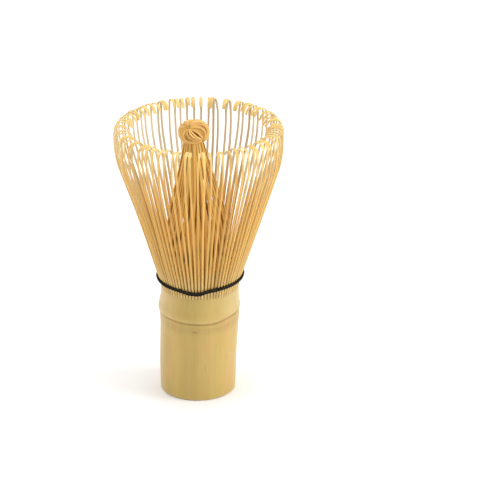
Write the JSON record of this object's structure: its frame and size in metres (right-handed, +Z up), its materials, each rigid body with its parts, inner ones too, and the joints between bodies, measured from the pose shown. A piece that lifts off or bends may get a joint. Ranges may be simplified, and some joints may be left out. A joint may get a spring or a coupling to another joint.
{
  "type": "bamboo tea whisk",
  "caption": "Hand whisk split from one bamboo culm: hollow grip, outer curled tines, inner tines wound to a knot, twined thread.",
  "frame": {"origin": "centre of the grip's underside, which it stands on", "axes": "+Z up along the grip's axis, towards the tines; -Y towards the thread's knot"},
  "size_m": [0.0592, 0.0592, 0.1004],
  "materials": {
    "bamboo_skin": "satin culm skin",
    "bamboo_tine": "split and shaved",
    "black_thread": "twisted cotton"
  },
  "bodies": {
    "handle": {"grip": "bamboo_skin", "outer_tine_roots": "bamboo_tine", "inner_tines_01": "bamboo_tine", "inner_tines_02": "bamboo_tine", "inner_tines_03": "bamboo_tine", "inner_tines_04": "bamboo_tine", "inner_tines_05": "bamboo_tine", "inner_tines_06": "bamboo_tine", "inner_tines_07": "bamboo_tine", "inner_tines_08": "bamboo_tine", "inner_tines_09": "bamboo_tine", "inner_tines_10": "bamboo_tine", "inner_tines_11": "bamboo_tine", "inner_tines_12": "bamboo_tine", "inner_tines_13": "bamboo_tine", "inner_tines_14": "bamboo_tine", "inner_tines_15": "bamboo_tine", "inner_tines_16": "bamboo_tine", "wound_knot": "bamboo_tine", "binding_thread": "black_thread", "thread_knot": "black_thread"},
    "outer_01": {"outer_tines_01": "bamboo_tine"},
    "outer_02": {"outer_tines_02": "bamboo_tine"},
    "outer_03": {"outer_tines_03": "bamboo_tine"},
    "outer_04": {"outer_tines_04": "bamboo_tine"},
    "outer_05": {"outer_tines_05": "bamboo_tine"},
    "outer_06": {"outer_tines_06": "bamboo_tine"},
    "outer_07": {"outer_tines_07": "bamboo_tine"},
    "outer_08": {"outer_tines_08": "bamboo_tine"},
    "outer_09": {"outer_tines_09": "bamboo_tine"},
    "outer_10": {"outer_tines_10": "bamboo_tine"},
    "outer_11": {"outer_tines_11": "bamboo_tine"},
    "outer_12": {"outer_tines_12": "bamboo_tine"},
    "outer_13": {"outer_tines_13": "bamboo_tine"},
    "outer_14": {"outer_tines_14": "bamboo_tine"},
    "outer_15": {"outer_tines_15": "bamboo_tine"},
    "outer_16": {"outer_tines_16": "bamboo_tine"}
  },
  "joints": [
    {"name": "flex_01", "type": "hinge", "parent": "handle", "child": "outer_01", "pos_m": [0.01731, 0, 0.0517], "axis": [0, 1, 0], "range_deg": [-4, 6], "stiffness_Nm_per_rad": 0.0256},
    {"name": "flex_02", "type": "hinge", "parent": "handle", "child": "outer_02", "pos_m": [0.01599, 0.00662, 0.0517], "axis": [-0.3827, 0.9239, 0], "range_deg": [-4, 6], "stiffness_Nm_per_rad": 0.0256},
    {"name": "flex_03", "type": "hinge", "parent": "handle", "child": "outer_03", "pos_m": [0.01224, 0.01224, 0.0517], "axis": [-0.7071, 0.7071, 0], "range_deg": [-4, 6], "stiffness_Nm_per_rad": 0.0256},
    {"name": "flex_04", "type": "hinge", "parent": "handle", "child": "outer_04", "pos_m": [0.00662, 0.01599, 0.0517], "axis": [-0.9239, 0.3827, 0], "range_deg": [-4, 6], "stiffness_Nm_per_rad": 0.0256},
    {"name": "flex_05", "type": "hinge", "parent": "handle", "child": "outer_05", "pos_m": [0, 0.01731, 0.0517], "axis": [-1, 0, 0], "range_deg": [-4, 6], "stiffness_Nm_per_rad": 0.0256},
    {"name": "flex_06", "type": "hinge", "parent": "handle", "child": "outer_06", "pos_m": [-0.00662, 0.01599, 0.0517], "axis": [-0.9239, -0.3827, 0], "range_deg": [-4, 6], "stiffness_Nm_per_rad": 0.0256},
    {"name": "flex_07", "type": "hinge", "parent": "handle", "child": "outer_07", "pos_m": [-0.01224, 0.01224, 0.0517], "axis": [-0.7071, -0.7071, 0], "range_deg": [-4, 6], "stiffness_Nm_per_rad": 0.0256},
    {"name": "flex_08", "type": "hinge", "parent": "handle", "child": "outer_08", "pos_m": [-0.01599, 0.00662, 0.0517], "axis": [-0.3827, -0.9239, 0], "range_deg": [-4, 6], "stiffness_Nm_per_rad": 0.0256},
    {"name": "flex_09", "type": "hinge", "parent": "handle", "child": "outer_09", "pos_m": [-0.01731, 0, 0.0517], "axis": [0, -1, 0], "range_deg": [-4, 6], "stiffness_Nm_per_rad": 0.0256},
    {"name": "flex_10", "type": "hinge", "parent": "handle", "child": "outer_10", "pos_m": [-0.01599, -0.00662, 0.0517], "axis": [0.3827, -0.9239, 0], "range_deg": [-4, 6], "stiffness_Nm_per_rad": 0.0256},
    {"name": "flex_11", "type": "hinge", "parent": "handle", "child": "outer_11", "pos_m": [-0.01224, -0.01224, 0.0517], "axis": [0.7071, -0.7071, 0], "range_deg": [-4, 6], "stiffness_Nm_per_rad": 0.0256},
    {"name": "flex_12", "type": "hinge", "parent": "handle", "child": "outer_12", "pos_m": [-0.00662, -0.01599, 0.0517], "axis": [0.9239, -0.3827, 0], "range_deg": [-4, 6], "stiffness_Nm_per_rad": 0.0256},
    {"name": "flex_13", "type": "hinge", "parent": "handle", "child": "outer_13", "pos_m": [0, -0.01731, 0.0517], "axis": [1, 0, 0], "range_deg": [-4, 6], "stiffness_Nm_per_rad": 0.0256},
    {"name": "flex_14", "type": "hinge", "parent": "handle", "child": "outer_14", "pos_m": [0.00662, -0.01599, 0.0517], "axis": [0.9239, 0.3827, 0], "range_deg": [-4, 6], "stiffness_Nm_per_rad": 0.0256},
    {"name": "flex_15", "type": "hinge", "parent": "handle", "child": "outer_15", "pos_m": [0.01224, -0.01224, 0.0517], "axis": [0.7071, 0.7071, 0], "range_deg": [-4, 6], "stiffness_Nm_per_rad": 0.0256},
    {"name": "flex_16", "type": "hinge", "parent": "handle", "child": "outer_16", "pos_m": [0.01599, -0.00662, 0.0517], "axis": [0.3827, 0.9239, 0], "range_deg": [-4, 6], "stiffness_Nm_per_rad": 0.0256}
  ]
}
